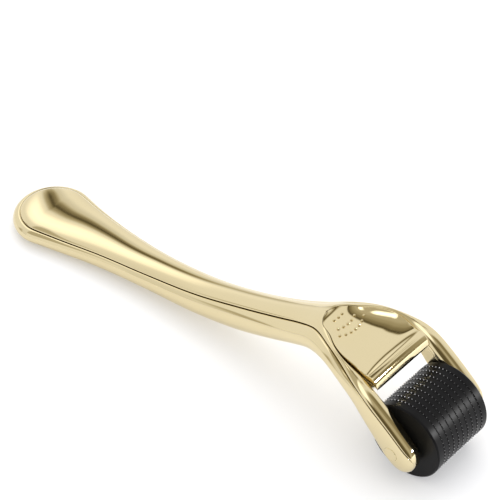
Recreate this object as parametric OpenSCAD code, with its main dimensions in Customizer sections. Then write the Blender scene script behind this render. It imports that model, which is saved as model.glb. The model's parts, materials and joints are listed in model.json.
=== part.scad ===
// Derma roller: a gold handle with a fork, and a black drum of needle discs.
// +X runs along the handle towards the drum, +Z is up. The tool lies on its
// tail and on its needles, and the origin is under the middle of its box.

/* [Drum] */
// Radius of the needle discs and of the rings between them
drum_r = 10; // [8:0.1:11]
// Number of needle discs
disc_count = 9; // [5:1:9]
// Needles around each disc
needle_count = 60; // [24:12:72]
// Length that a needle stands above the drum
needle_len = 0.25; // [0.2:0.05:0.5]
// Distance from one disc to the next
disc_pitch = 1.8; // [1.2:0.05:1.8]
// Thickness of a needle disc
disc_t = 0.2; // [0.2:0.05:0.4]
// Width of the plain cap beyond the last disc
cap_w = 2.2; // [1.5:0.1:2.2]
// Radius of the caps
cap_r = 10.1; // [8.2:0.1:10.2]

/* [Pivot] */
// Diameter of the steel axle
axle_d = 2.4; // [1.6:0.1:3]
// Diameter of the plug that closes the axle's hole from outside
plug_d = 3.6; // [3.2:0.1:4]
// Depth of the plug
plug_t = 1.2; // [0.8:0.1:1.5]
// Radial play of the drum on its axle
play = 0.05; // [0.02:0.01:0.1]

/* [Handle] */
// Distance between the fork's inner faces
fork_gap = 20; // [19.8:0.1:20.6]
// Width across the fork's seam
fork_w = 29; // [28:0.5:30]
// Reach from the axle back to the widest place of the tail
tail_reach = 121; // [115:1:125]
// Wall under the hollow grip
wall = 1.8; // [1.4:0.1:2.2]
// Width of the rim that the cover sits inside
rim_w = 0.9; // [0.7:0.1:1.1]
// Depth of the cover's lip
lip_h = 1.2; // [0.8:0.1:1.5]
// Gap between pieces that are pressed together
gap = 0.05; // [0.02:0.01:0.08]

/* [Thumb pad] */
// Length of the pad
pad_len = 23; // [21:0.5:24]
// Depth of the dish for the thumb
dish_depth = 1.5; // [0.8:0.1:1.8]
// Radius of a grip dot
dot_r = 0.32; // [0.2:0.02:0.4]

/* [Hidden] */

gold = "#d9c48a";
black = "#26272a";
steel = "#c9ccd0";

needle_r = drum_r + needle_len;
axle_z = needle_r;
half_gap = fork_gap / 2;
half_fork = fork_w / 2;
drum_half = (disc_count - 1) * disc_pitch / 2 + cap_w + disc_t / 2;
core_r = 6.5;
fork_face = half_fork + 0.4;

// The handle's stations: x from the axle, half width at the seam, height of the
// seam, bulge of the side beyond the seam, height of the underside.
body = [[-tail_reach, 9.0, 4.7, 2.1, -0.25],
        [-112, 7.4, 4.9, 1.6, -0.1],
        [-100, 5.6, 5.8, 1.3, 0.6],
        [-86, 4.35, 7.0, 1.4, 1.5],
        [-70, 3.7, 9.7, 1.8, 2.8],
        [-56, 3.4, 13.9, 2.3, 5.8],
        [-44, 3.6, 18.4, 2.9, 10.7],
        [-36, 4.2, 22.0, 3.4, 15.0],
        [-30, 5.8, 24.8, 3.1, 18.2],
        [-24, 8.8, 25.7, 2.3, 20.2],
        [-18, 11.4, 25.1, 1.8, 20.2],
        [-13, 13.4, 23.9, 1.0, 18.6],
        [-9, half_fork - 0.2, 22.0, 0.6, 14.8],
        [-5, half_fork, 19.3, 0.4, 10.3],
        [-1, half_fork, 16.4, 0.4, 6.2],
        [4.4, half_fork, 12.1, 0.4, 5]];

// The round tip of each arm
tip_r = 4;
tip_x = 1.9;
tip_z = 9;
arm_mid = (half_gap + half_fork) / 2;

// The length of the whole tool sets where the axle is
tail_end = tail_reach + body[0][1] + body[0][3];
axle_x = (tail_end - needle_r) / 2;

// The pad's plan: x from the axle, half width
pad_front = -8.3;
pad_back = pad_front - pad_len;
pad_plan = [[pad_back, 2.9], [-30.5, 3.9], [-29.4, 4.4], [-26, 5.7], [-22.5, 7.7], [-19, 9.2], [-15, 9.75],
            [pad_front, 9.75]];
// The pad's middle line: x from the axle, height
pad_top = [[pad_back, 25.65], [-28, 26.45], [-24, 26.9], [-18, 26.7], [-14.5, 25.95], [-12.4, 25.2],
           [-10.9, 25.15], [-9.9, 24.9], [-9.1, 24.35], [-8.6, 23.6], [pad_front, 22.7]];
// Length of the pad's rounded front
nose_len = 2.6;

// Smooth curve through the rows of a table
function slope(t, c, k) =
    let (a = max(0, k - 1), b = min(len(t) - 1, k + 1)) (t[b][c] - t[a][c]) / (t[b][0] - t[a][0]);
function row_of(t, x) = min(len(t) - 2, max(0, len([for (r = t) if (r[0] < x) r]) - 1));
function at(t, c, x) =
    let (k = row_of(t, x), h = t[k + 1][0] - t[k][0], u = (x - t[k][0]) / h)
    (2 * u^3 - 3 * u^2 + 1) * t[k][c] + (u^3 - 2 * u^2 + u) * h * slope(t, c, k)
    + (3 * u^2 - 2 * u^3) * t[k + 1][c] + (u^3 - u^2) * h * slope(t, c, k + 1);

function mix(a, b, u) = a + (b - a) * u;
function ease(a, b, x) = let (u = min(1, max(0, (x - a) / (b - a)))) u * u * (3 - 2 * u);
function tip_h(x) = sqrt(max(0.04, tip_r^2 - (x - tip_x)^2));

// Seam, sides and underside at x
function tip_round(x) = tip_h(max(x, tip_x)) / tip_r;
function in_plan(x, y) = arm_mid + (y - arm_mid) * tip_round(x)^0.4;
function seam_y(x) = x < tip_x ? at(body, 1, x) : in_plan(x, half_fork);
function side_y(x) = seam_y(x) + at(body, 3, x) * tip_round(x);
function inner_y(x) = in_plan(x, half_gap);
function seam_z(x) = x > tip_x + tip_r * 0.62 ? tip_z + tip_h(x) : at(body, 2, x);
function under_z(x) = x > -0.9 ? tip_z - tip_h(x) : at(body, 4, x);
// How far a section has turned from one grip into two arms
function forked(x) = ease(-24, -13, x);
// The lip and the crown flatten out towards the tip
function lip_at(x) = lip_h * sqrt(tip_round(x));
function crown(x) = mix(1.5, 0.75, ease(-34, -20, x)) * sqrt(tip_round(x));

// Where the cover opens for the pad, and where the arms' inner faces are
cut_x = pad_back - 0.25;
bar_x = -10.6;
bar_under = 20.2;
function on_bar(x) = x <= bar_x;
function cut_y(x) = x < -15 ? at(pad_plan, 1, max(x, pad_back)) + 0.1 : inner_y(x);

// Half sections, as [y, z]
side_n = 4;
under_n = 12;
skin_n = 6;
crown_n = 7;

function side_curve(x) =
    let (w = seam_y(x), b = side_y(x) - w, z = seam_z(x), drop = (z - under_z(x)) * 0.4)
    [for (i = [0:side_n]) [w + b * sin(90 * i / side_n), z - drop * (1 - cos(90 * i / side_n))]];
// One grip: a rounded belly down to the middle
function belly(x) =
    let (w = side_y(x), z = under_z(x), h = (seam_z(x) - z) * 0.6)
    [for (i = [1:under_n]) let (a = 90 * i / under_n)
        [w * (i == under_n ? 0 : cos(a)^0.83), z + h - h * sin(a)^0.83]];
// One arm: a rounded bar, whose inner face ends at the bar between the arms
function arm_under(x) =
    let (w = side_y(x), z = under_z(x), h = (seam_z(x) - z) * 0.6, y0 = inner_y(x), m = (y0 + w) / 2,
         top = on_bar(x) ? mix(z, bar_under, ease(-20, bar_x, x)) : seam_z(x) - lip_at(x) * 1.3,
         half = under_n / 2, e = min(1.6, h * 0.6))
    [for (i = [1:under_n]) i <= half
        ? let (a = 90 * i / half) [m + (w - m) * cos(a)^0.8, z + h - h * sin(a)^0.8]
        : i < under_n - 1
            ? let (a = 90 * (i - half) / (half - 2)) [m - (m - y0) * sin(a), z + e - e * cos(a)]
            : i == under_n - 1 ? [y0, mix(z + e, top, 0.5)] : [y0, top]];
function under_curve(x) =
    let (a = belly(x), b = arm_under(x), u = forked(x), last = under_n - 1)
    [for (i = [0:last])
        on_bar(x) && i == last ? [0, mix(a[i][1], b[i][1], u)] : a[i] * (1 - u) + b[i] * u];
function hollow(x) = x < -38;
function lower_skin(x) =
    let (w = seam_y(x) - rim_w, z = seam_z(x) - lip_at(x), b = under_z(x) + wall,
         y0 = on_bar(x) ? 0 : inner_y(x))
    [for (i = [0:skin_n]) let (a = 90 * i / skin_n)
        hollow(x) ? [w * sin(a)^0.8, z - (z - b) * (i == skin_n ? 0 : cos(a)^0.6)]
                  : [mix(y0, w, i / skin_n), z]];
function lower_half(x) =
    concat(side_curve(x), under_curve(x), lower_skin(x), [[seam_y(x) - rim_w, seam_z(x)]]);

// The inner wall of an arm's cover is hollowed by a hair
bow = 0.15;
function cover_half(x) =
    let (w = seam_y(x), z = seam_z(x), c = crown(x), lip = lip_at(x) - gap, r = w - rim_w - gap,
         whole = x <= cut_x, y0 = whole ? 0 : cut_y(x), m = whole ? 0 : (y0 + w) / 2,
         skin = max(0.6, w - rim_w - 1.2))
    concat(
        [for (i = [0:crown_n]) let (a = whole ? 90 - 90 * i / crown_n : 150 - 150 * i / crown_n)
            [i == 0 ? y0 : m + (w - m) * sign(cos(a)) * abs(cos(a))^0.6, z + gap + c * sin(a)^0.8]],
        [[r, z + gap], [r, z - lip]],
        [for (i = [0:skin_n]) let (u = i / skin_n)
            whole ? (i == 0 ? [skin, z - lip] : [skin * cos(90 * (i - 1) / (skin_n - 1)),
                                                 z - 0.1 + (c - 1.2) * sin(90 * (i - 1) / (skin_n - 1))])
                  : [y0 + bow * u * (1 - u * 0.85), mix(z - lip, z + gap + c * sin(150)^0.8, u * 0.85)]]);

// Solid swept through half sections and their mirror images. The first open_n
// sections stop at the middle plane; later ones are closed loops of their own.
function fan_half(s, a) = [for (p = s) [-tail_reach - p[0] * cos(a), p[0] * sin(a), p[1]]];
function placed(s, x) = [for (p = s) [x, p[0], p[1]]];
function flip(s) = [for (p = s) [p[0], -p[1], p[2]]];
function swept_faces(rows, n, open_n, gap_at) = [
    for (r = [0:rows - 2], i = [0:n - 1]) let (j = (i + 1) % n)
        if (!(i == gap_at && r < open_n - 1)) each
            [[r * n + i, r * n + j, (r + 1) * n + i], [r * n + j, (r + 1) * n + j, (r + 1) * n + i]]];
function mirrored_faces(faces, k) = [for (f = faces) [f[2] + k, f[1] + k, f[0] + k]];
function first_faces(n, k, gap_at) = [
    for (i = [0:n - 1]) let (j = (i + 1) % n) if (i != gap_at) each [[i, i + k, j], [j, i + k, j + k]]];
function apart(f, p) = p[f[0]] != p[f[1]] && p[f[1]] != p[f[2]] && p[f[2]] != p[f[0]];

module sweep_both(sections, open_n, gap_at) {
    n = len(sections[0]);
    k = len(sections) * n;
    points = concat([for (s = sections) each s], [for (s = sections) each flip(s)]);
    right = swept_faces(len(sections), n, open_n, gap_at);
    sides = concat(right, mirrored_faces(right, k), first_faces(n, k, gap_at));
    ends = [[for (i = [0:n - 1]) k - n + i], [for (i = [n - 1:-1:0]) 2 * k - n + i]];
    polyhedron(points, concat([for (f = sides) if (apart(f, points)) f], ends), convexity = 10);
}

// Places of the sections: a fan round the tail, then along the grip and the arms
fan = [for (i = [0:5]) 90 * (2 * i + 1) / 13];
grip_x = concat([for (i = [0:22]) -tail_reach + (tail_reach - 38.4) * i / 22], [-37.6, -35.6, -33.4]);
head_x = [-29.5, -27.5, -25.5, -23.5, -21.5, -19.5, -17.5, -15.5, -13.5, -12];
arm_x = concat([-9.8, -8.6, -7, -5, -3, -1, 0.6, 2.2, 3.6], [for (a = [35:12:83]) tip_x + tip_r * sin(a)]);

// The axle's hole through both arms, with a seat for a plug at each end
module fork_bores() {
    translate([0, 0, axle_z]) rotate([90, 0, 0]) {
        cylinder(d = axle_d, h = 2 * fork_w, center = true, $fn = 48);
        for (s = [-1, 1]) translate([0, 0, s * (fork_face - plug_t / 2 + 1)])
            cylinder(d = plug_d, h = plug_t + 2, center = true, $fn = 48);
    }
}

// The belly of the tail is flat where the tool rests on it
module rest_cut() {
    translate([-tail_reach - 20, -20, -5]) cube([40, 40, 5]);
}

module lower_shell() {
    xs = concat(grip_x, [-31.4], head_x, [bar_x, bar_x + 0.1], arm_x);
    tail = lower_half(-tail_reach);
    sections = concat([for (a = fan) fan_half(tail, a)], [for (x = xs) placed(lower_half(x), x)]);
    color(gold) translate([axle_x, 0, 0]) difference() {
        sweep_both(sections, len(fan) + len(grip_x) + 1 + len(head_x) + 1, side_n + under_n);
        fork_bores();
        rest_cut();
    }
}

module upper_shell() {
    xs = concat(grip_x, [cut_x, cut_x + 0.15], head_x, [bar_x], arm_x);
    tail = cover_half(-tail_reach);
    sections = concat([for (a = fan) fan_half(tail, a)], [for (x = xs) placed(cover_half(x), x)]);
    color(gold) translate([axle_x, 0, 0])
        sweep_both(sections, len(fan) + len(grip_x) + 1, crown_n + 3 + skin_n);
}

// The pad's half section: across the dish, over the rounded edge, down its side
pad_n = 8;
function dish_at(x) = dish_depth * sin(180 * min(1, max(0, (x - pad_back - 1.5) / (pad_len - 5))))^1.3;
function pad_bed(x) =
    let (front = seam_z(bar_x) - lip_h + gap)
    x < bar_x ? seam_z(x) - lip_h + gap : mix(front, 21.9, (x - bar_x) / (pad_front - bar_x));
function pad_z(x, u) = at(pad_top, 1, x) - dish_at(x) * (1 - u * u)^1.2 - 0.5 * u^8;
function pad_half(x) =
    let (w = at(pad_plan, 1, x), low = pad_bed(x), edge = pad_z(x, 1))
    concat([for (i = [0:pad_n]) let (u = sin(90 * i / pad_n)) [w * u, pad_z(x, u)]],
           [[w, mix(low, edge, 0.5)], [w, low], [w / 2, low], [0, low]]);

// Grip dots in three arcs of three, five and seven
dot_rows = [[-27.9, 1], [-25.05, 2], [-22.75, 3]];
dot_pitch = 1.5;

module thumb_pad() {
    xs = concat([for (i = [0:17]) pad_back + (pad_len - nose_len) * i / 17],
                [for (a = [15:15:90]) pad_front - nose_len * (1 - sin(a))]);
    sections = [for (x = xs) placed(pad_half(x), x)];
    n = len(sections[0]);
    color(gold) translate([axle_x, 0, 0]) {
        pad_body(sections, n);
        for (row = dot_rows, i = [-row[1]:row[1]]) let (y = dot_pitch * i, x = row[0] - y * y / 18)
            translate([x, y, pad_z(x, y / at(pad_plan, 1, x)) + dot_r * 0.2]) sphere(dot_r, $fn = 16);
    }
}

module pad_body(sections, n) {
    k = len(sections) * n;
    points = concat([for (s = sections) each s], [for (s = sections) each flip(s)]);
    right = swept_faces(len(sections), n, len(sections), n - 1);
    back = [for (i = [1:n - 2]) [0, i + 1, i]];
    front = [for (i = [1:n - 2]) [k - n, k - n + i, k - n + i + 1]];
    sides = concat(right, back, front);
    polyhedron(points, concat(sides, mirrored_faces(sides, k)), convexity = 6);
}

// A ring or disc of the drum, with its axis along Y and its middle at y
module on_axle(y) {
    translate([axle_x, y, axle_z]) rotate([90, 0, 0]) children();
}

module axle() {
    length = 2 * (fork_face - plug_t - 0.1);
    color(steel) on_axle(0) rotate_extrude($fn = 48)
        polygon([[0, -length / 2], [axle_d / 2 - 0.2, -length / 2], [axle_d / 2, -length / 2 + 0.2],
                 [axle_d / 2, length / 2 - 0.2], [axle_d / 2 - 0.2, length / 2], [0, length / 2]]);
}

module axle_plug(side) {
    color(gold) on_axle(side * (fork_face - plug_t / 2))
        rotate([side > 0 ? 180 : 0, 0, 0]) rotate_extrude($fn = 48)
        polygon([[0, -plug_t / 2], [plug_d / 2, -plug_t / 2], [plug_d / 2, plug_t / 2 - 0.2],
                 [plug_d / 2 - 0.2, plug_t / 2], [0, plug_t / 2]]);
}
module axle_plug_left() axle_plug(1);
module axle_plug_right() axle_plug(-1);

bore_r = axle_d / 2 + play;
stack_half = (disc_count - 1) * disc_pitch / 2 + disc_t / 2;
core_half = stack_half + 1.2;

module drum_core() {
    color(black) on_axle(0) difference() {
        cylinder(r = core_r, h = 2 * core_half, center = true, $fn = 96);
        cylinder(r = bore_r, h = 2 * core_half + 1, center = true, $fn = 48);
    }
}

// Cap: its pocket takes the end of the core, its hub is the washer against the arm
hub_r = 3;
hub_h = half_gap - drum_half - 0.12;
cap_bevel = 0.35;
module end_cap(side) {
    color(black) on_axle(0) rotate([side > 0 ? 180 : 0, 0, 0]) rotate_extrude($fn = 120)
        polygon([[bore_r, core_half], [core_r + gap, core_half], [core_r + gap, stack_half],
                 [cap_r - 0.15, stack_half], [cap_r, stack_half + 0.15], [cap_r, drum_half - cap_bevel],
                 [cap_r - cap_bevel, drum_half], [hub_r, drum_half], [hub_r, drum_half + hub_h],
                 [bore_r, drum_half + hub_h]]);
}
module end_cap_left() end_cap(1);
module end_cap_right() end_cap(-1);

// Needles of one disc stand between those of the next, on a shallow groove
root_r = drum_r - 0.1;
needle_base = 0.24;
module needle_disc(k) {
    half_base = asin(needle_base / 2 / root_r);
    shift = k % 2 == 0 ? 0.5 : 0;
    outline = [for (i = [0:needle_count - 1]) let (a = 360 * (i + shift) / needle_count) each
        [root_r * [cos(a - half_base), sin(a - half_base)],
         needle_r * [cos(a), sin(a)],
         root_r * [cos(a + half_base), sin(a + half_base)]]];
    color(steel) on_axle((k - (disc_count + 1) / 2) * disc_pitch) difference() {
        linear_extrude(disc_t, center = true) polygon(outline);
        cylinder(r = core_r, h = disc_t + 1, center = true, $fn = 96);
    }
}
module needle_disc_1() needle_disc(1);
module needle_disc_2() needle_disc(2);
module needle_disc_3() needle_disc(3);
module needle_disc_4() needle_disc(4);
module needle_disc_5() needle_disc(5);
module needle_disc_6() needle_disc(6);
module needle_disc_7() needle_disc(7);
module needle_disc_8() needle_disc(8);
module needle_disc_9() needle_disc(9);

module spacer_ring(k) {
    w = disc_pitch - disc_t;
    color(black) on_axle((k - disc_count / 2) * disc_pitch) rotate_extrude($fn = 120)
        polygon([[core_r, -w / 2], [drum_r - 0.08, -w / 2], [drum_r, -w / 2 + 0.08],
                 [drum_r, w / 2 - 0.08], [drum_r - 0.08, w / 2], [core_r, w / 2]]);
}
module spacer_ring_1() spacer_ring(1);
module spacer_ring_2() spacer_ring(2);
module spacer_ring_3() spacer_ring(3);
module spacer_ring_4() spacer_ring(4);
module spacer_ring_5() spacer_ring(5);
module spacer_ring_6() spacer_ring(6);
module spacer_ring_7() spacer_ring(7);
module spacer_ring_8() spacer_ring(8);

lower_shell();
upper_shell();
thumb_pad();
axle();
axle_plug_left();
axle_plug_right();
drum_core();
end_cap_left();
end_cap_right();
needle_disc_1();
needle_disc_2();
needle_disc_3();
needle_disc_4();
needle_disc_5();
needle_disc_6();
needle_disc_7();
needle_disc_8();
needle_disc_9();
spacer_ring_1();
spacer_ring_2();
spacer_ring_3();
spacer_ring_4();
spacer_ring_5();
spacer_ring_6();
spacer_ring_7();
spacer_ring_8();
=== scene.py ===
import json
import math

import bmesh
import bpy
from mathutils import Matrix, Vector


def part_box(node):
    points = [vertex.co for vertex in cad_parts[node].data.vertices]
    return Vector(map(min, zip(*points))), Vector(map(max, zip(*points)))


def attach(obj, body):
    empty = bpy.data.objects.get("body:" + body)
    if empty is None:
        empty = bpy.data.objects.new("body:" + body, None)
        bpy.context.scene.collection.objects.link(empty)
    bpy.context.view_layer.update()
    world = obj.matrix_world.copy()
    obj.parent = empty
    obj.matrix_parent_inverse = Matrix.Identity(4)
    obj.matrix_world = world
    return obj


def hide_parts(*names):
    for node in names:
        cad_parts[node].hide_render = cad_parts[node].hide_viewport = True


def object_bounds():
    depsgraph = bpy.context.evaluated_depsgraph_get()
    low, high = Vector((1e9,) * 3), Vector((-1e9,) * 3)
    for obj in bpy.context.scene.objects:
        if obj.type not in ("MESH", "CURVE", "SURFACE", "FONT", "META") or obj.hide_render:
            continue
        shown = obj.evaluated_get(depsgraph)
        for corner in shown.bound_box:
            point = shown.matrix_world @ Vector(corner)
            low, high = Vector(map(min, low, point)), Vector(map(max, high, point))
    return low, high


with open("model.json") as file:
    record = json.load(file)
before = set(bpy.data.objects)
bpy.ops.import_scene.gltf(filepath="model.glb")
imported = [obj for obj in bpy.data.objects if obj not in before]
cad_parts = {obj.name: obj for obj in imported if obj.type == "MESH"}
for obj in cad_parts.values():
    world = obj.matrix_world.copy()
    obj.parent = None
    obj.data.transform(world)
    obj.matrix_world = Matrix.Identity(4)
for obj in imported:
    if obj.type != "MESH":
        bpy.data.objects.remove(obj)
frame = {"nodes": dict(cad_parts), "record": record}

# A derma roller. The handle's two shells and the thumb pad are lofted here, and everything on the
# axle keeps its own mesh. The handle's sizes are in millimetres, with x from the axle, y from the
# middle plane and z from the floor.
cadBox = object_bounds()
mm = 0.001
coreLow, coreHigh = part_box("drum_core")
axleAt = (coreLow + coreHigh) / 2  # middle of the drum, on its axle
toolMiddle = (cadBox[0] + cadBox[1]) / 2


cameraSettings = {
    "azimuth": 39.5,
    "elevation": 42.77,
    "roll": 1.04,
    "distance": 0.6136,
    "aimOffset": (-0.0013, 0.0083, 0.0075),  # from the tool's middle
    "lens": 180,
    "clipStart": 0.01,
}


def directionTo(azimuth, elevation):
    # azimuth 0 is seen from -Y, 90 from +X
    a, e = math.radians(azimuth), math.radians(elevation)
    return Vector((math.sin(a) * math.cos(e), -math.cos(a) * math.cos(e), math.sin(e)))


def addCamera(s):
    back = directionTo(s["azimuth"], s["elevation"])
    a = math.radians(s["azimuth"])
    right = Vector((math.cos(a), math.sin(a), 0))
    up = back.cross(right)
    turn = Matrix((right, up, back)).transposed() @ Matrix.Rotation(math.radians(s["roll"]), 3, "Z")
    data = bpy.data.cameras.new("camera")
    data.lens = s["lens"]
    data.clip_start = s["clipStart"]
    camera = bpy.data.objects.new("camera", data)
    bpy.context.scene.collection.objects.link(camera)
    aim = toolMiddle + Vector(s["aimOffset"])
    camera.matrix_world = Matrix.Translation(aim + back * s["distance"]) @ turn.to_4x4()
    bpy.context.scene.camera = camera


addCamera(cameraSettings)
print("camera placed")


def mix(a, b, u):
    # for numbers and for wires
    return a + (b - a) * u


class Wire:
    # a socket that can be used in ordinary sums
    def __init__(self, tree, socket):
        self.tree = tree
        self.socket = socket

    def sum(self, operation, *values):
        return self.tree.node("Math", {"operation": operation}, *values)

    def __add__(self, other):
        return self.sum("ADD", self, other)

    def __sub__(self, other):
        return self.sum("SUBTRACT", self, other)

    def __rsub__(self, other):
        return self.sum("SUBTRACT", other, self)

    def __mul__(self, other):
        return self.sum("MULTIPLY", self, other)

    def __pow__(self, other):
        return self.sum("POWER", self, other)

    __radd__ = __add__
    __rmul__ = __mul__


class Tree:
    # a node tree that is built by short calls
    def __init__(self, tree):
        self.tree = tree
        self.tree.nodes.clear()

    def make(self, kind, settings=None, *values, **named):
        node = self.tree.nodes.new("ShaderNode" + kind)
        for key, value in (settings or {}).items():
            if key == "stops":
                spots = node.color_ramp.elements
                for k, (place, colour) in enumerate(value):
                    spot = spots[k] if k < 2 else spots.new(place)
                    spot.position = place
                    spot.color = (*colour, 1)
            elif key == "blend":
                node.color_ramp.interpolation = value
            else:
                setattr(node, key, value)
        sockets = list(zip(node.inputs, values))
        sockets += [(node.inputs[key.replace("_", " ")], value) for key, value in named.items()]
        for socket, value in sockets:
            if isinstance(value, Wire):
                self.tree.links.new(value.socket, socket)
            elif value is not None:
                socket.default_value = value
        return node

    def node(self, kind, settings=None, *values, output=0, **named):
        return Wire(self, self.make(kind, settings, *values, **named).outputs[output])

    def ramp(self, amount, stops):
        # a grey level for each place along the ramp
        greys = [(place, (level, level, level)) for place, level in stops]
        return self.node("ValToRGB", {"stops": greys, "blend": "EASE"}, Fac=amount)

    def noise(self, scale, detail, stretch=(1, 1, 1)):
        place = self.node("TexCoord", output="Object")
        stretched = self.node("Mapping", Vector=place, Scale=stretch)
        return self.node("TexNoise", Vector=stretched, Scale=scale, Detail=detail, Roughness=0.5)

    def fromAxle(self):
        # distance from the drum's axis, in millimetres
        place = self.node("TexCoord", output="Object")
        off = self.node("VectorMath", {"operation": "SUBTRACT"}, place, tuple(axleAt))
        flat = self.node("VectorMath", {"operation": "MULTIPLY"}, off, (1, 0, 1))
        return self.node("VectorMath", {"operation": "LENGTH"}, flat, output=1) * 1000.0

    def colours(self, amount, dark, light):
        # sockets 6 and 7 of a colour mix are its two colours
        mixer = self.make("Mix", {"data_type": "RGBA"})
        self.tree.links.new(amount.socket, mixer.inputs[0])
        mixer.inputs[6].default_value = (*dark, 1)
        mixer.inputs[7].default_value = (*light, 1)
        return Wire(self, mixer.outputs[2])

    def bump(self, height, strength, depth):
        return self.node("Bump", Strength=strength, Distance=depth, Height=height)


class Finish(Tree):
    # one material
    def __init__(self, name):
        self.material = bpy.data.materials.new(name)
        self.material.use_nodes = True
        super().__init__(self.material.node_tree)

    def close(self, shader):
        self.make("OutputMaterial", Surface=shader)
        return self.material


goldFinish = {
    "deep": (0.68, 0.575, 0.34),
    "pale": (0.735, 0.635, 0.405),
    "toneScale": 38,
    "roughness": 0.055,
    "smudge": 0.05,
    "smudgeScale": 130,
    "ripple": 0.005,
    "rippleScale": 900,
    "relief": 0.00012,
    # height of the metal by distance from the axle, as a part of the plug's width: a groove round its edge
    "plugWidth": 3.6,
    "plugRing": [(0, 1), (0.46, 1), (0.50, 0), (0.54, 1)],
}


def goldPlating(s):
    f = Finish("gold_plating")
    tone = f.noise(s["toneScale"], 2)
    smudge = f.noise(s["smudgeScale"], 4, (1, 1.6, 1))
    ripple = f.noise(s["rippleScale"], 2) * s["ripple"]
    relief = ripple + f.ramp(f.fromAxle() * (1 / s["plugWidth"]), s["plugRing"])
    base = f.colours(tone, s["deep"], s["pale"])
    rough = s["roughness"] + s["smudge"] * smudge ** 3.0
    normal = f.bump(relief, 1.0, s["relief"])
    return f.close(f.node("BsdfPrincipled", Base_Color=base, Metallic=1.0, Roughness=rough, Normal=normal))


blackFinish = {
    "dark": (0.003, 0.003, 0.0034),
    "light": (0.0055, 0.0055, 0.006),
    "mottleScale": 400,
    "roughness": 0.3,
    "mottle": 0.12,
    "gloss": 0.12,
    "grainScale": 6000,
    "grain": 0.000005,
}


def blackPlastic(s):
    f = Finish("black_plastic")
    mottle = f.noise(s["mottleScale"], 3)
    base = f.colours(mottle, s["dark"], s["light"])
    rough = s["roughness"] + s["mottle"] * mottle
    normal = f.bump(f.noise(s["grainScale"], 2), 0.3, s["grain"])
    return f.close(f.node("BsdfPrincipled", Base_Color=base, Roughness=rough,
                          Specular_IOR_Level=s["gloss"], Normal=normal))


axleFinish = {
    "dark": (0.52, 0.53, 0.55),
    "light": (0.68, 0.69, 0.71),
    "ringScale": 900,
    "ringStretch": (1, 12, 1),  # fine rings round the pin, as a lathe leaves them
    "roughness": 0.2,
    "ringRoughness": 0.15,
    "ringDepth": 0.000004,
}


def axleSteel(s):
    f = Finish("axle_steel")
    rings = f.noise(s["ringScale"], 3, s["ringStretch"])
    base = f.colours(rings, s["dark"], s["light"])
    rough = s["roughness"] + s["ringRoughness"] * rings
    normal = f.bump(rings, 0.2, s["ringDepth"])
    return f.close(f.node("BsdfPrincipled", Base_Color=base, Metallic=1.0, Roughness=rough, Normal=normal))


needleFinish = {
    # painted shade: the near-black colour the steel discs take down in the grooves
    "groove": (0.004, 0.004, 0.0045),
    "tip": (0.33, 0.33, 0.34),
    "roughness": 0.5,
    "speckle": 0.1,
    "speckleScale": 2000,
    "gloss": 0.1,
    "from": 9.98,  # radius where the painted shade of the grooves gives way to plain metal, and how far it takes to be all metal
    "over": 0.14,
}


def needleMetal(s):
    # painted shade: dark and not metallic down in the grooves of the drum, where shade falls, plain metal
    # towards the tips
    f = Finish("needle_metal")
    # painted groove shade below this radius, fading out towards the needle tips
    clearOfPaintedShade = f.ramp((f.fromAxle() - s["from"]) * (1 / s["over"]), [(0, 0), (1, 1)])
    base = f.colours(clearOfPaintedShade, s["groove"], s["tip"])
    rough = s["roughness"] + s["speckle"] * f.noise(s["speckleScale"], 2)
    return f.close(f.node("BsdfPrincipled", Base_Color=base, Metallic=clearOfPaintedShade, Roughness=rough,
                          Specular_IOR_Level=s["gloss"]))


gold = goldPlating(goldFinish)
slotFinish = {
    "gold_plating": gold,
    "black_plastic": blackPlastic(blackFinish),
    "axle_steel": axleSteel(axleFinish),
    "needle_metal": needleMetal(needleFinish),
}
for part in frame["record"]["subparts"]:
    skin = frame["nodes"][part["node"]].data
    skin.materials.clear()
    skin.materials.append(slotFinish[part["material_slot"]])
print("finishes made")


handle = {
    # x, half width at the seam, height of the seam, bulge of the side, height of the underside
    "rows": [(-121, 9.0, 4.7, 2.1, -0.25), (-112, 7.4, 4.9, 1.6, -0.1), (-100, 5.6, 5.8, 1.3, 0.6),
             (-86, 4.35, 7.0, 1.4, 1.5), (-70, 3.7, 9.7, 1.8, 2.8), (-56, 3.4, 13.9, 2.3, 5.8),
             (-44, 3.6, 18.4, 2.9, 10.7), (-36, 4.2, 22.0, 3.4, 15.0), (-30, 5.8, 24.8, 3.1, 18.2),
             (-24, 8.8, 25.7, 2.3, 20.2), (-18, 11.4, 25.1, 1.8, 20.2), (-13, 13.4, 23.9, 1.0, 18.6),
             (-9, 14.3, 22.0, 0.6, 14.8), (-5, 14.5, 19.3, 0.4, 10.3), (-1, 14.5, 16.4, 0.4, 6.2),
             (4.4, 14.5, 12.1, 0.4, 5)],
    "tailRound": 0.992,  # the round tail is a little shorter than wide
    "forks": (-24, -13),  # where the one grip turns into two arms
    "gapHalf": 10,
    "forkHalf": 14.5,
    # the round tip of each arm, how its sides draw in, and where the seam and the underside join it
    "tipRadius": 4,
    "tipX": 1.9,
    "tipZ": 9,
    "tipDraw": 0.4,
    "tipSeam": 0.62,
    "tipUnder": -0.9,
    # the seam's groove, as its width, depth and edge
    "seamWidth": 0.2,
    "seamDrop": 0.3,
    "seamEdge": 0.06,
    "sideShare": 0.4,  # the side takes this part of the height below the seam, the underside the rest
    "bellySquare": 0.83,  # below 1 a round is squarer than an ellipse
    "armSquare": 0.8,
    "armInnerRound": 1.6,
    "armInnerEnd": 1.3,  # an arm's inner face ends this many lip heights below the seam
    # the bar between the arms, under the pad
    "barFrom": -20,
    "barX": -10.6,
    "barUnder": 20.2,
    # inside
    "rim": 0.9,
    "lip": 1.2,
    "wall": 1.8,
    "fit": 0.05,  # gap between pieces that are pressed together
    "hollowTo": -38,
    "hollowSides": 0.8,  # squareness of the hollow, across and downwards
    "hollowBottom": 0.6,
}
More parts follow.
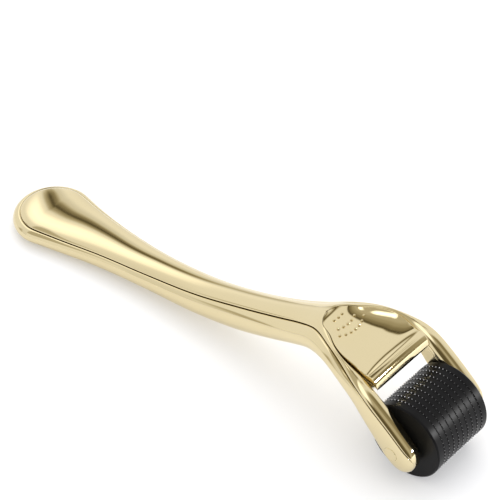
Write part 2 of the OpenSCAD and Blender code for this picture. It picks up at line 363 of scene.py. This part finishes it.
cover = {
    "gripCrown": 1.5,
    "armCrown": 0.75,
    "crownFades": (-34, -20),
    "step": 0.12,  # its edge stands this much above the seam
    "edge": 0.1,  # and is drawn in by this much at the seam
    "wall": 1.2,
    "leastHollow": 0.6,
    # on the arms it turns into a rounded rail, whose inner side lies lower
    "railFades": (-29, -18),
    "railCrest": 0.95,
    "railDrop": 0.9,
    "railDrops": (-28, -13),
}
pad = {
    "front": -8.3,
    "length": 23,
    "plan": [(-31.3, 3.6), (-30.2, 4.2), (-26, 5.9), (-22.5, 8.2), (-19, 9.6), (-15, 9.88), (-8.3, 9.85)],
    "top": [(-31.3, 25.65), (-28, 26.45), (-24, 26.9), (-18, 26.7), (-15, 26.0), (-13.2, 25.3),
            (-12.2, 25.05), (-11.2, 25.2), (-10.4, 25.15), (-9.6, 24.75), (-9.0, 24.15), (-8.6, 23.4),
            (-8.3, 22.6)],
    "backRound": 3.2,
    "noseRound": 3.1,
    "noseUnder": 21.9,
    "edgeRound": 0.15,
    "edgeBelow": 0.35,  # its edges lie this much below its middle, once clear of the cover
    "clearOfCover": (-29, -19),
    "seamGap": 0.1,  # the cover stands this far off the pad's sides, as far as seamTo
    "seamTo": -15,
    # the dish: its depth, the length left plain at the back and in all, how steep its ends and sides are
    "dish": 1.75,
    "dishFrom": 1.5,
    "dishLeaves": 4.5,
    "dishEnds": 0.9,
    "dishSides": 2.6,
    # rows of grip dots as x and number to each side of the middle; a row bends by y squared over dotBend
    "dotRows": [(-27.9, 1), (-25.05, 2), (-22.75, 3)],
    "dotPitch": 1.5,
    "dotBend": 18,
    "dotRadius": 0.36,
    "dotRise": 0.25,
}


def slope(rows, c, k):
    a, b = max(0, k - 1), min(len(rows) - 1, k + 1)
    return (rows[b][c] - rows[a][c]) / (rows[b][0] - rows[a][0])


def at(rows, c, x):
    # smooth curve through one column of a table
    k = min(len(rows) - 2, max(0, sum(r[0] < x for r in rows) - 1))
    h = rows[k + 1][0] - rows[k][0]
    u = (x - rows[k][0]) / h
    before = (2 * u ** 3 - 3 * u ** 2 + 1) * rows[k][c] + (u ** 3 - 2 * u ** 2 + u) * h * slope(rows, c, k)
    return (before + (3 * u ** 2 - 2 * u ** 3) * rows[k + 1][c]
            + (u ** 3 - u ** 2) * h * slope(rows, c, k + 1))


def ease(a, b, x):
    u = min(1, max(0, (x - a) / (b - a)))
    return u * u * (3 - 2 * u)


def power(value, exponent):
    return max(0, value) ** exponent


def arc(count, first, last):
    return [math.radians(mix(first, last, i / count)) for i in range(count + 1)]


def steps(first, last, pitch):
    count = max(1, round((last - first) / pitch))
    return [mix(first, last, i / count) for i in range(count + 1)]


def tipHeight(x):
    # half the tip's height, never quite nothing
    return math.sqrt(max(0.04, handle["tipRadius"] ** 2 - (x - handle["tipX"]) ** 2))


def tipRound(x):
    # 1 along the handle, falling towards 0 at the end of an arm
    return tipHeight(max(x, handle["tipX"])) / handle["tipRadius"]


def inPlan(x, y):
    # an arm's faces draw together round its tip
    middle = (handle["gapHalf"] + handle["forkHalf"]) / 2
    return middle + (y - middle) * tipRound(x) ** handle["tipDraw"]


def seamY(x):
    return at(handle["rows"], 1, x) if x < handle["tipX"] else inPlan(x, handle["forkHalf"])


def sideY(x):
    return seamY(x) + at(handle["rows"], 3, x) * tipRound(x)


def innerY(x):
    return inPlan(x, handle["gapHalf"])


def seamZ(x):
    onTip = x > handle["tipX"] + handle["tipRadius"] * handle["tipSeam"]
    return handle["tipZ"] + tipHeight(x) if onTip else at(handle["rows"], 2, x)


def underZ(x):
    onTip = x > handle["tipUnder"]
    return handle["tipZ"] - tipHeight(x) if onTip else at(handle["rows"], 4, x)


def forked(x):
    return ease(*handle["forks"], x)  # 0 on the one grip, 1 where it has become two arms


def lipAt(x):
    return handle["lip"] * math.sqrt(tipRound(x))


def crownAt(x):
    return mix(cover["gripCrown"], cover["armCrown"], ease(*cover["crownFades"], x)) * math.sqrt(tipRound(x))


def onBar(x):
    return x <= handle["barX"]


padBack = pad["front"] - pad["length"]
cutX = padBack - 0.25  # the cover opens for the pad a little behind it


def padY(x):
    # the pad's half width, with a round back end that never quite closes
    turn = min(1, max(0, (x - padBack) / pad["backRound"]))
    return at(pad["plan"], 1, max(x, padBack)) * math.sqrt(1 - (1 - turn) ** 2) + 0.02


def cutY(x):
    return padY(x) + pad["seamGap"] if x < pad["seamTo"] else innerY(x)


# Half sections as (y, z). Every section of a shell has the same number of points.
sideCount = 7
underCount = 14
skinCount = 8
crownCount = 14


def sideCurve(x):
    # over the groove's shoulder and down the side
    w, z, soft = seamY(x), seamZ(x), tipRound(x)
    bulge, drop = sideY(x) - w, (z - underZ(x)) * handle["sideShare"]
    shoulder = [(w - handle["seamWidth"] * soft, z - handle["seamDrop"] * soft), (w, z - handle["seamEdge"])]
    return shoulder + [(w + bulge * math.sin(a), z - drop * (1 - math.cos(a)))
                       for a in arc(sideCount - 2, 0, 90)[1:]]


def underHeight(x):
    return (seamZ(x) - underZ(x)) * (1 - handle["sideShare"])


def belly(x):
    # one grip: a rounded underside down to the middle
    w, z, h, square = sideY(x), underZ(x), underHeight(x), handle["bellySquare"]
    return [(w * power(math.cos(a), square) if i < underCount - 1 else 0,
             z + h - h * power(math.sin(a), square))
            for i, a in enumerate(arc(underCount, 0, 90)[1:])]


def armUnder(x):
    # one arm: a rounded bar, whose inner face ends at the bar between the arms
    w, z, y0, h, square = sideY(x), underZ(x), innerY(x), underHeight(x), handle["armSquare"]
    m = (y0 + w) / 2
    if onBar(x):
        innerTop = mix(z, handle["barUnder"], ease(handle["barFrom"], handle["barX"], x))
    else:
        innerTop = seamZ(x) - lipAt(x) * handle["armInnerEnd"]
    half = underCount // 2
    e = min(handle["armInnerRound"], h * 0.6)
    outer = [(m + (w - m) * power(math.cos(a), square), z + h - h * power(math.sin(a), square))
             for a in arc(half, 0, 90)[1:]]
    inner = [(m - (m - y0) * math.sin(a), z + e - e * math.cos(a)) for a in arc(half - 2, 0, 90)[1:]]
    return outer + inner + [(y0, mix(z + e, innerTop, 0.5)), (y0, innerTop)]


def underCurve(x):
    u = forked(x)
    points = []
    for i, (a, b) in enumerate(zip(belly(x), armUnder(x))):
        last = onBar(x) and i == underCount - 1
        points.append((0 if last else mix(a[0], b[0], u), mix(a[1], b[1], u)))
    return points


def lowerSkin(x):
    # the inside: hollow along the grip, a flat bed for the cover further forward
    w, z, b = seamY(x) - handle["rim"], seamZ(x) - lipAt(x), underZ(x) + handle["wall"]
    y0 = 0 if onBar(x) else innerY(x)
    if x < handle["hollowTo"]:
        sides, bottom = handle["hollowSides"], handle["hollowBottom"]
        return [(w * power(math.sin(a), sides),
                 z - (z - b) * (power(math.cos(a), bottom) if i < skinCount else 0))
                for i, a in enumerate(arc(skinCount, 0, 90))]
    return [(mix(y0, w, i / skinCount), z) for i in range(skinCount + 1)]


def lowerHalf(x):
    rim = (seamY(x) - handle["rim"], seamZ(x) - handle["seamDrop"] * tipRound(x))
    return sideCurve(x) + underCurve(x) + lowerSkin(x) + [rim]


def domeZ(x, y):
    # the cover as one crowned surface
    rise = math.sqrt(max(0, 1 - (y / seamY(x)) ** 2))
    return seamZ(x) + cover["step"] + (crownAt(x) - cover["step"]) * rise


def railAt(x, a):
    # the cover as a rounded rail on one arm: a is 0 at the seam and 180 degrees at the inner side
    soft = math.sqrt(tipRound(x))
    drop = cover["railDrop"] * ease(*cover["railDrops"], x) * soft
    crest = cover["railCrest"] * soft
    sink = (1 - math.sin(a)) * (crest if a < math.pi / 2 else crest + drop)
    return seamZ(x) + cover["step"] + crest - sink


def coverHalf(x):
    w, z, c, lip = seamY(x), seamZ(x), crownAt(x), lipAt(x) - handle["fit"]
    r = w - handle["rim"] - handle["fit"]
    whole = x <= cutX
    y0 = 0 if whole else cutY(x)
    m = (y0 + w) / 2
    rail = 0 if whole else ease(*cover["railFades"], x)
    top = []
    for a in arc(crownCount, 180, 0):
        y = m + (w - m) * math.cos(a)
        top.append((y, mix(domeZ(x, y), railAt(x, a), rail)))
    foot = [(w - cover["edge"] * tipRound(x), z), (r, z), (r, z - lip)]
    if whole:
        skin = max(cover["leastHollow"], w - handle["rim"] - cover["wall"])
        inside = [(skin, z - lip)] + [(skin * math.cos(a) if i < skinCount - 1 else 0,
                                       z - 0.1 + (c - cover["wall"]) * math.sin(a))
                                      for i, a in enumerate(arc(skinCount - 1, 0, 90))]
    else:
        inside = [(y0, mix(z - lip, top[0][1], i / skinCount * 0.85)) for i in range(skinCount + 1)]
    return top + foot + inside


def fanned(section, turn):
    # a section of the round tail, turned about the middle of the tail
    return [(tailX - p[0] * math.cos(turn) * handle["tailRound"], p[0] * math.sin(turn), p[1])
            for p in section]


def straight(section, x):
    return [(x, p[0], p[1]) for p in section]


def loftHalf(sections, openRows, gapColumn):
    # a grid wrapped round the sections; the first openRows of them stop at the middle plane
    bm = bmesh.new()
    n, rows = len(sections[0]), len(sections)
    bmesh.ops.create_grid(bm, x_segments=n, y_segments=rows - 1, size=0.5)

    def cell(co):
        return (co.x + 0.5) * n, (co.y + 0.5) * (rows - 1)

    spare = []
    for face in bm.faces:
        column, row = cell(face.calc_center_median())
        if int(column) == gapColumn and int(row) < openRows - 1:
            spare.append(face)
    bmesh.ops.delete(bm, geom=spare, context="FACES")
    for vert in bm.verts:
        column, row = cell(vert.co)
        x, y, z = sections[round(row)][round(column) % n]
        vert.co = Vector((axleAt.x + x * mm, y * mm, max(0, z) * mm))  # flat where it rests
    bmesh.ops.remove_doubles(bm, verts=bm.verts, dist=0.000001)
    return bm


def mirrorShell(bm):
    everything = bm.verts[:] + bm.edges[:] + bm.faces[:]
    bmesh.ops.mirror(bm, geom=everything, axis="Y", merge_dist=0.000001)
    bmesh.ops.remove_doubles(bm, verts=bm.verts, dist=0.000001)
    bmesh.ops.holes_fill(bm, edges=bm.edges, sides=0)
    bmesh.ops.recalc_face_normals(bm, faces=bm.faces)


def newPiece(bm, name, material):
    mesh = bpy.data.meshes.new(name)
    bm.to_mesh(mesh)
    bm.free()
    mesh.materials.append(material)
    piece = bpy.data.objects.new(name, mesh)
    bpy.context.scene.collection.objects.link(piece)
    return piece


def handlePiece(bm, name, node):
    for face in bm.faces:
        face.smooth = True
    piece = newPiece(bm, name, gold)
    smoother = piece.modifiers.new("smooth", "SUBSURF")
    smoother.levels = 1
    smoother.render_levels = 1
    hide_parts(node)
    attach(piece, "handle")


# Where the sections stand, closer together where the shape turns quickly
tailX = handle["rows"][0][0]
hollowEnd = (handle["hollowTo"] - 0.4, handle["hollowTo"] + 0.4)
gripSteps = steps(tailX, hollowEnd[0], 2.4) + [hollowEnd[1]]
armSteps = [-9.8, -8.6, -7, -5.5, -4, -2.5, -1, 0.4, 1.7, 2.8, 3.7]
armSteps += [handle["tipX"] + handle["tipRadius"] * math.sin(a) for a in arc(5, 35, 85)]
fanTurns = arc(9, 0, 90)[:-1]


def wholeHalf(half, xs):
    # the fan round the tail, then the sections along the handle
    tail = half(tailX)
    return [fanned(tail, a) for a in fanTurns] + [straight(half(x), x) for x in xs]


def lowerShell():
    before = gripSteps + steps(-36, -31.4, 1.5) + steps(-30, -12, 1.5) + [handle["barX"]]
    after = [handle["barX"] + 0.1] + armSteps
    sections = wholeHalf(lowerHalf, before + after)
    bm = loftHalf(sections, len(fanTurns) + len(before), sideCount + underCount - 1)
    mirrorShell(bm)
    handlePiece(bm, "lowerShell", "lower_shell")


def upperShell():
    before = gripSteps + steps(-36, cutX, 1.5)
    opened = [cutX + 0.06] + [padBack + pad["backRound"] * (1 - math.cos(a)) for a in arc(4, 15, 75)]
    after = opened + steps(-28, -12, 1.3) + [handle["barX"]] + armSteps
    sections = wholeHalf(coverHalf, before + after)
    bm = loftHalf(sections, len(fanTurns) + len(before), len(sections[0]) - 1)
    mirrorShell(bm)
    handlePiece(bm, "upperShell", "upper_shell")


lowerShell()
upperShell()
print("handle shells made")


def dishAt(x):
    u = min(1, max(0, (x - padBack - pad["dishFrom"]) / (pad["length"] - pad["dishLeaves"])))
    return pad["dish"] * math.sin(math.pi * u) ** pad["dishEnds"]


def padBed(x):
    front = seamZ(handle["barX"]) - handle["lip"] + handle["fit"]
    if x < handle["barX"]:
        return seamZ(x) - handle["lip"] + handle["fit"]
    return mix(front, pad["noseUnder"], (x - handle["barX"]) / (pad["front"] - handle["barX"]))


def padEdge(x):
    # flush with the cover at the back, above the arms further forward
    return mix(domeZ(x, padY(x)), at(pad["top"], 1, x) - pad["edgeBelow"], ease(*pad["clearOfCover"], x))


def padZ(x, u):
    # u is 0 in the middle and 1 at the edge
    edge, top = padEdge(x), at(pad["top"], 1, x)
    return edge + (top - edge) * (1 - u * u) - dishAt(x) * (1 - abs(u) ** pad["dishSides"])


def padHalf(x):
    w, low = padY(x), padBed(x)
    edge = min(pad["edgeRound"], w / 2)
    across = [math.sin(a) for a in arc(14, 0, 90)]
    top = [((w - edge) * u, padZ(x, u * (w - edge) / w)) for u in across]
    side = padZ(x, 1)
    return top + [(w - edge * 0.3, side - edge * 0.35), (w, side - edge), (w, mix(low, side, 0.5)), (w, low),
                  (w / 2, low), (0, low)]


def addDots(bm):
    for rowX, reach in pad["dotRows"]:
        for i in range(-reach, reach + 1):
            y = pad["dotPitch"] * i
            x = rowX - y * y / pad["dotBend"]
            z = padZ(x, y / padY(x)) + pad["dotRadius"] * pad["dotRise"]
            spot = Matrix.Translation(Vector((axleAt.x + x * mm, y * mm, z * mm)))
            bmesh.ops.create_icosphere(bm, subdivisions=2, radius=pad["dotRadius"] * mm, matrix=spot)


def thumbPad():
    back = [padBack + pad["backRound"] * (1 - math.cos(a)) for a in arc(6, 0, 75)]
    nose = [pad["front"] - pad["noseRound"] + pad["noseRound"] * math.sin(a) for a in arc(12, 0, 90)]
    xs = back + steps(-28, -11.8, 0.8) + nose
    sections = [straight(padHalf(x), x) for x in xs]
    bm = loftHalf(sections, len(sections), len(sections[0]) - 1)
    mirrorShell(bm)
    addDots(bm)
    handlePiece(bm, "thumbPad", "thumb_pad")


thumbPad()
print("thumb pad made")


studio = {
    "floor": (0.86, 0.86, 0.87),
    "level": 0.98,
    # brightness of the panels behind the tail and the grip, from the near side (0) to the far side (1)
    "panels": {"plain": 1.08, "shear": (0.6, 0.55), "ends": [(0.075, 0), (0.19, 1), (0.255, 1), (0.275, 0)],
               "across": [(0, 0.95), (0.40, 1.02), (0.525, 1.08), (0.56, 1.25), (0.61, 1.6), (0.67, 1.78),
                          (0.70, 1.7), (0.728, 1.15), (0.75, 0.45), (0.765, 0.10), (0.78, 0.30),
                          (0.805, 0.88), (0.85, 1.15), (1, 1)]},
    # a darker canopy over the pad, with a lamp in it
    "canopy": {"shear": (-0.17, 0.45), "ends": [(0.25, 0), (0.265, 1), (0.57, 1), (0.62, 0)],
               "across": [(0.55, 1), (0.715, 1), (0.732, 0)], "above": [(0.55, 0), (0.62, 1)],
               "shade": [(0.58, 0.62), (0.64, 0.46), (0.685, 0.28), (0.712, 0.12)]},
    "glint": {"toward": (-0.205, 0.08, 0.976), "edge": [(0.9962, 0), (0.9992, 1)], "level": 2.8},
    # what the arms and the pad's front mirror ahead of the tool
    "bars": {"band": [(0.70, 0), (0.73, 1), (0.815, 1), (0.835, 0)],
             "along": [(0.485, 1.08), (0.505, 0.45), (0.53, 1.02), (0.60, 1.05), (0.63, 0.55), (0.66, 0.95),
                       (0.72, 1.1), (0.76, 0.30), (0.86, 0.28), (0.885, 1.0), (0.91, 1.5)]},
    "front": {"ends": [(0.69, 0), (0.765, 1)],
              "across": [(0, 0.12), (0.42, 0.14), (0.50, 0.28), (0.56, 0.60), (0.64, 0.60), (0.70, 0.36),
                         (0.79, 0.26), (0.825, 0.45), (0.85, 0.85), (1, 0.95)]},
    "armGlow": {"toward": (0.33, -0.03, 0.943), "edge": [(0.93, 0), (0.975, 1)], "level": 1.75},
    # lower part of the studio on the near side, seen along the grip's side
    "sideBand": {"ends": [(0.10, 1), (0.17, 0)], "across": [(0.22, 1), (0.29, 0)], "level": 0.6},
    # colour of a mirrored level: dark places look deeper in gold that mirrors gold
    "warmth": [(0, (1, 0.80, 0.40)), (0.45, (1, 0.91, 0.66)), (0.95, (1, 1, 1))],
    "softbox": {"azimuth": 219, "elevation": 55, "distance": 1.0, "size": (1.2, 0.6), "power": 3.0},
    "drumLamp": {"azimuth": 118.9, "elevation": 21.3, "distance": 1.0, "size": (0.12, 0.10), "power": 7},
}


def facing(s):
    # stands at its place and looks at the object's middle
    back = directionTo(s["azimuth"], s["elevation"])
    turn = back.to_track_quat("Z", "Y").to_matrix().to_4x4()
    return Matrix.Translation(toolMiddle + back * s["distance"]) @ turn


def softLight(name, s, mirrored=True):
    # a mirrored lamp is small, and would throw a hard shadow
    data = bpy.data.lights.new(name, "AREA")
    data.shape = "RECTANGLE"
    data.size, data.size_y = s["size"]
    data.energy = s["power"]
    data.use_shadow = not mirrored
    lamp = bpy.data.objects.new(name, data)
    lamp.matrix_world = facing(s)
    lamp.visible_glossy = mirrored
    bpy.context.scene.collection.objects.link(lamp)


def floorPiece(s):
    f = Finish("studio_floor")
    paper = f.noise(20, 2)
    base = f.colours(paper, [c * 0.985 for c in s["floor"]], s["floor"])
    material = f.close(f.node("BsdfPrincipled", Base_Color=base, Roughness=0.75))
    bm = bmesh.new()
    flat = Matrix.Translation(Vector((0, 0, cadBox[0].z)))
    bmesh.ops.create_grid(bm, x_segments=2, y_segments=2, size=4, matrix=flat)
    piece = newPiece(bm, "floor", material)


def studioWorld(s):
    # even light on rough surfaces; what the gold mirrors is a soft pattern of panels
    world = bpy.data.worlds.new("studio")
    world.use_nodes = True
    bpy.context.scene.world = world
    t = Tree(world.node_tree)
    toward = t.node("TexCoord", output="Generated")
    split = t.make("SeparateXYZ", Vector=toward)
    x, y, z = (Wire(t, o) for o in split.outputs)
    # ramps run from 0 to 1, so a direction's parts are brought into that range
    reach = x * 0.5 + 0.5
    across = y * 0.5 + 0.5

    def slanted(name):
        # a panel slants a little, so its place across depends on x as well
        push, start = s[name]["shear"]
        return (y + (x + start) * push) * 0.5 + 0.5

    def glow(level, lamp):
        # brings the level up to the lamp's in a round soft spot
        near = t.node("VectorMath", {"operation": "DOT_PRODUCT"}, toward, lamp["toward"], output=1)
        return mix(level, lamp["level"], t.ramp(near, lamp["edge"]))

    panels, canopy, bars, front, sideBand = (s[k] for k in ("panels", "canopy", "bars", "front", "sideBand"))
    mirrored = mix(panels["plain"], t.ramp(reach, bars["along"]), t.ramp(across, bars["band"]))
    mirrored = mix(mirrored, t.ramp(slanted("panels"), panels["across"]), t.ramp(reach, panels["ends"]))
    mirrored = mix(mirrored, t.ramp(across, front["across"]), t.ramp(reach, front["ends"]))
    mirrored = glow(mirrored, s["armGlow"])
    side = t.ramp(reach, sideBand["ends"]) * t.ramp(across, sideBand["across"])
    mirrored = mix(mirrored, sideBand["level"], side)
    overhead = slanted("canopy")
    shade = glow(t.ramp(overhead, canopy["shade"]), s["glint"])
    under = t.ramp(reach, canopy["ends"]) * t.ramp(overhead, canopy["across"]) * t.ramp(z, canopy["above"])
    mirrored = mix(mirrored, shade, under)
    level = mix(s["level"], mirrored, t.node("LightPath", output="Is Glossy Ray"))
    warmth = t.node("ValToRGB", {"stops": s["warmth"]}, Fac=level)
    light = t.node("Background", Color=warmth, Strength=level)
    t.make("OutputWorld", Surface=light)


studioWorld(studio)
floorPiece(studio)
softLight("farSoftbox", studio["softbox"], mirrored=False)
softLight("drumLamp", studio["drumLamp"])
bpy.context.scene.view_settings.view_transform = "Standard"
print("studio made")
